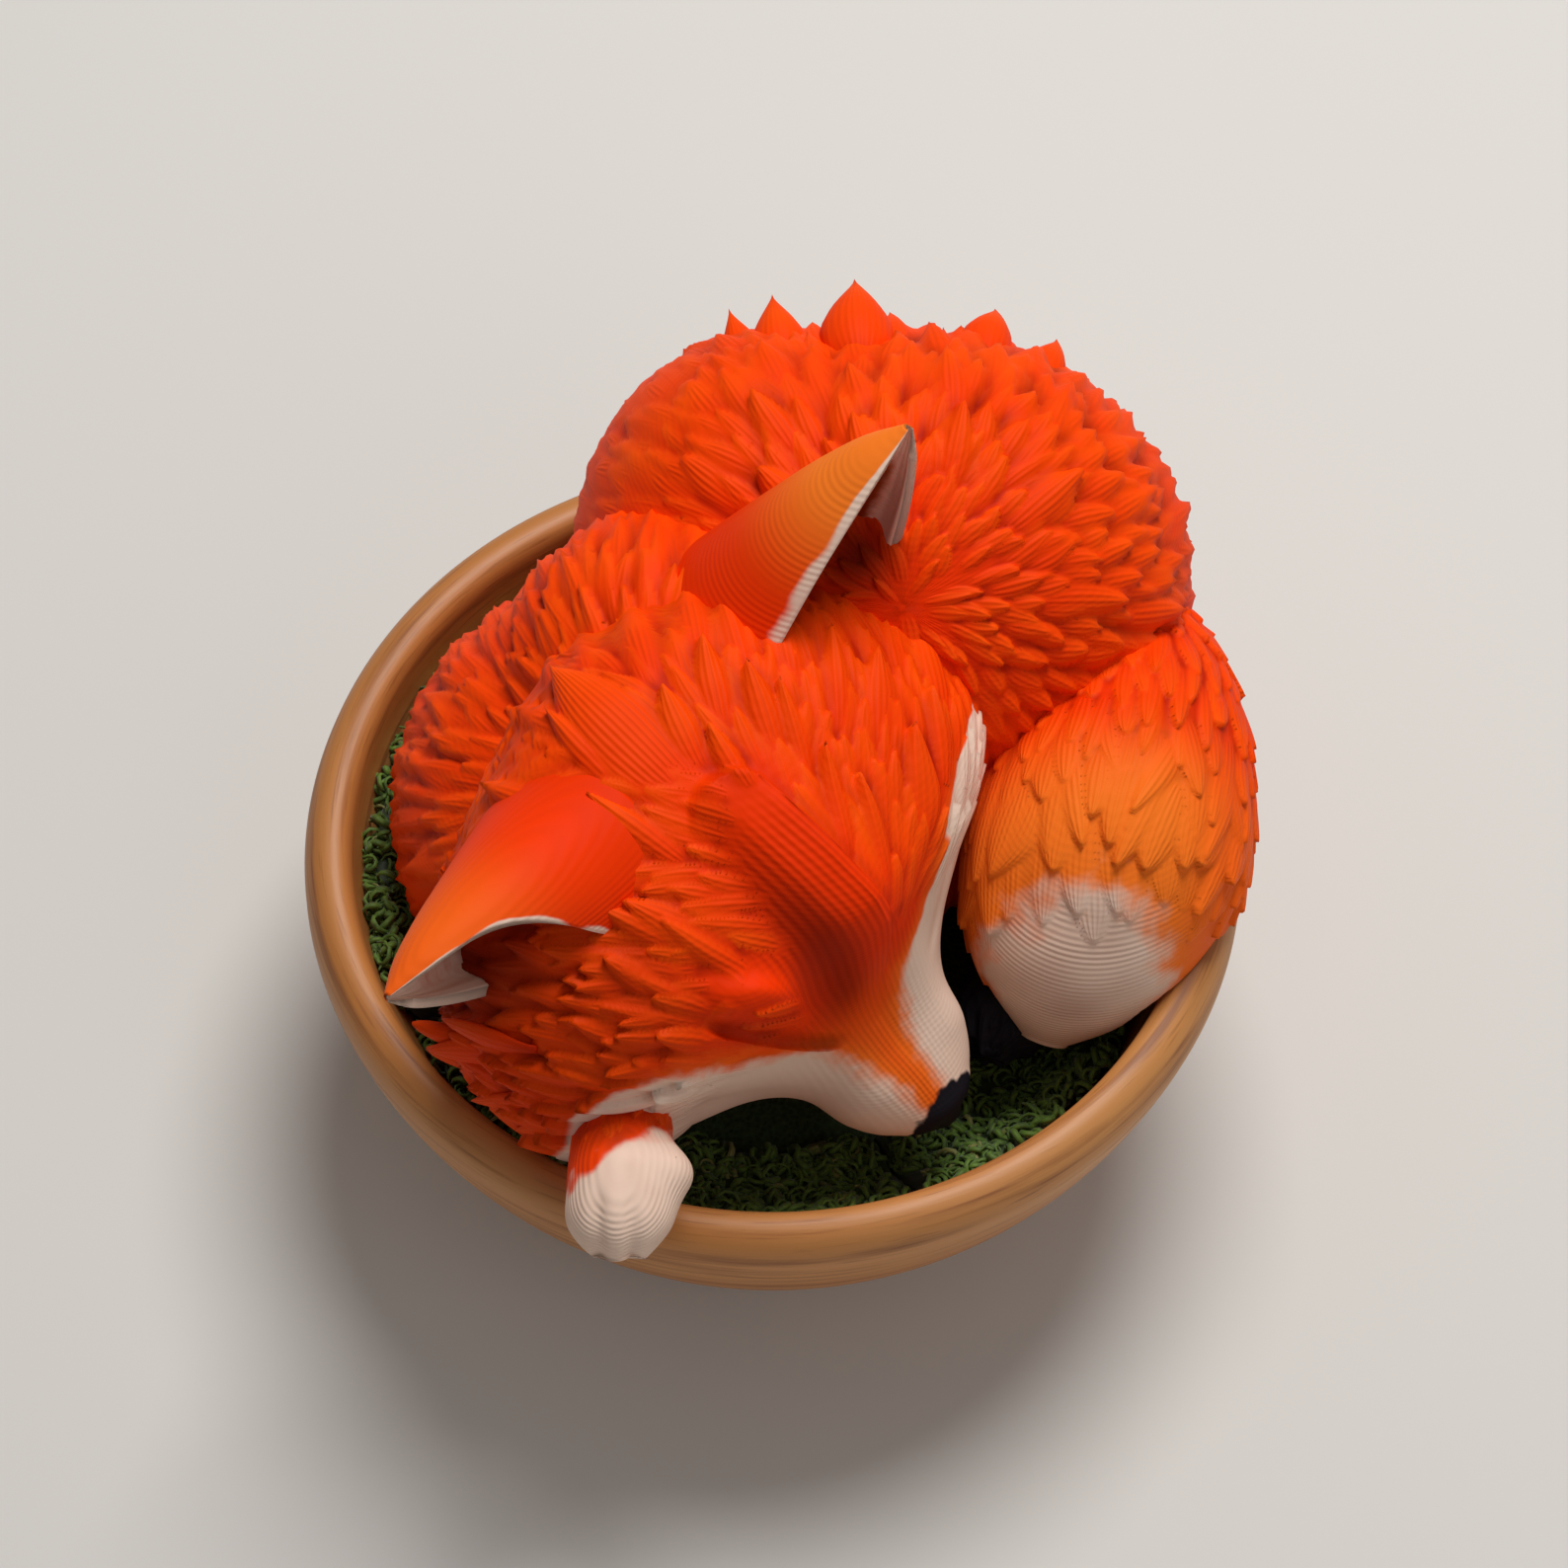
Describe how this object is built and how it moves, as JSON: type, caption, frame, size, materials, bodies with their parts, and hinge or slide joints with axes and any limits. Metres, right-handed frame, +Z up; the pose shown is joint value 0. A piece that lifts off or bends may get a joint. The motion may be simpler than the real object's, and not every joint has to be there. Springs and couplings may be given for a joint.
{
  "type": "fox figurine",
  "caption": "Small painted figure of a sleeping fox curled up on moss in a turned wooden bowl; the figure lifts out of the bowl.",
  "frame": {"origin": "centre of the bowl's flat foot, on the surface it stands on", "axes": "+Z up; -Y towards someone looking at the fox's face; +X to their right, where the tail lies over the rim"},
  "size_m": [0.091, 0.0975, 0.0827],
  "materials": {
    "turned_beech": "oiled, grain showing",
    "green_foam": "dull open-cell foam",
    "preserved_moss": "curled, soft and dull",
    "painted_print": "layered print, brushed paint, satin",
    "black_sock_paint": "layered print, dull paint",
    "dowel_rod": "raw"
  },
  "bodies": {
    "bowl": {"bowl": "turned_beech", "foam_bed": "green_foam", "moss_right": "preserved_moss", "moss_back_right": "preserved_moss", "moss_back": "preserved_moss", "moss_back_left": "preserved_moss", "moss_left": "preserved_moss", "moss_front_left": "preserved_moss", "moss_front": "preserved_moss", "moss_front_right": "preserved_moss"},
    "fox": {"fox_head": "painted_print", "fox_body": "painted_print", "fox_ruff": "painted_print", "fox_tail": "painted_print", "fox_forepaw": "painted_print", "fox_hind_paw": "black_sock_paint", "fox_far_ear": "painted_print", "fox_near_ear": "painted_print", "neck_dowel": "dowel_rod", "tail_dowel": "dowel_rod", "foreleg_dowel": "dowel_rod", "hind_leg_dowel": "dowel_rod"}
  },
  "joints": [
    {"name": "fox_lift", "type": "slide", "parent": "bowl", "child": "fox", "axis": [0, 0, 1], "range_m": [0, 0.06]}
  ]
}
